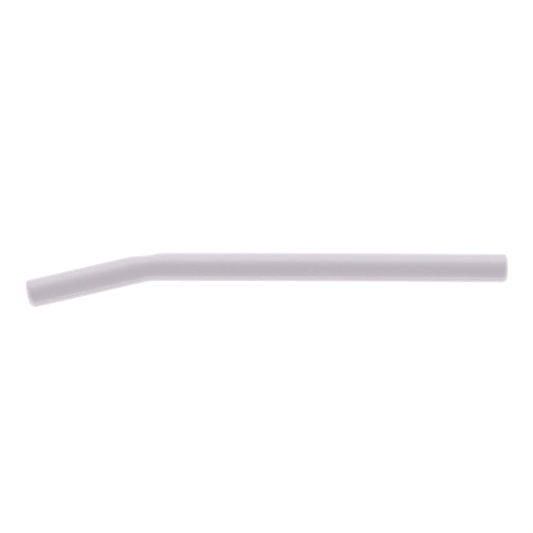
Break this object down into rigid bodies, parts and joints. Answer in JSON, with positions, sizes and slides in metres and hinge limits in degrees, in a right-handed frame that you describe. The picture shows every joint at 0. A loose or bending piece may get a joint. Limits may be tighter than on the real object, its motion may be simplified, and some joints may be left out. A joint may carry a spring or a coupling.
{
  "type": "saliva ejector tip",
  "caption": "Thick-walled suction tube with rounded ends and a shallow bend near the mouth end, held by a soft wire in its wall, for a dental suction valve.",
  "frame": {"origin": "centre of the valve end's opening, on the axis of the long rear leg", "axes": "+X along the rear leg's axis, out of the valve end; the front leg leans to -Y; +Z square to the plane of the bend, up with the tube lying on its side"},
  "size_m": [0.1345, 0.0155, 0.008],
  "materials": {
    "tube_plastic": "smooth satin-gloss white thermoplastic with a faint lilac tint",
    "wire_steel": "soft annealed drawn wire"
  },
  "bodies": {
    "rear_leg": {"rear_tube": "tube_plastic", "bend_section": "tube_plastic", "shape_wire": "wire_steel"},
    "front_leg": {"front_tube": "tube_plastic"}
  },
  "joints": [
    {"name": "bend_pivot", "type": "hinge", "parent": "rear_leg", "child": "front_leg", "pos_m": [-0.10015, 0, 0], "axis": [0, 0, 1], "range_deg": [-13.2, 46.8], "deforming": ["bend_section", "shape_wire"]}
  ]
}
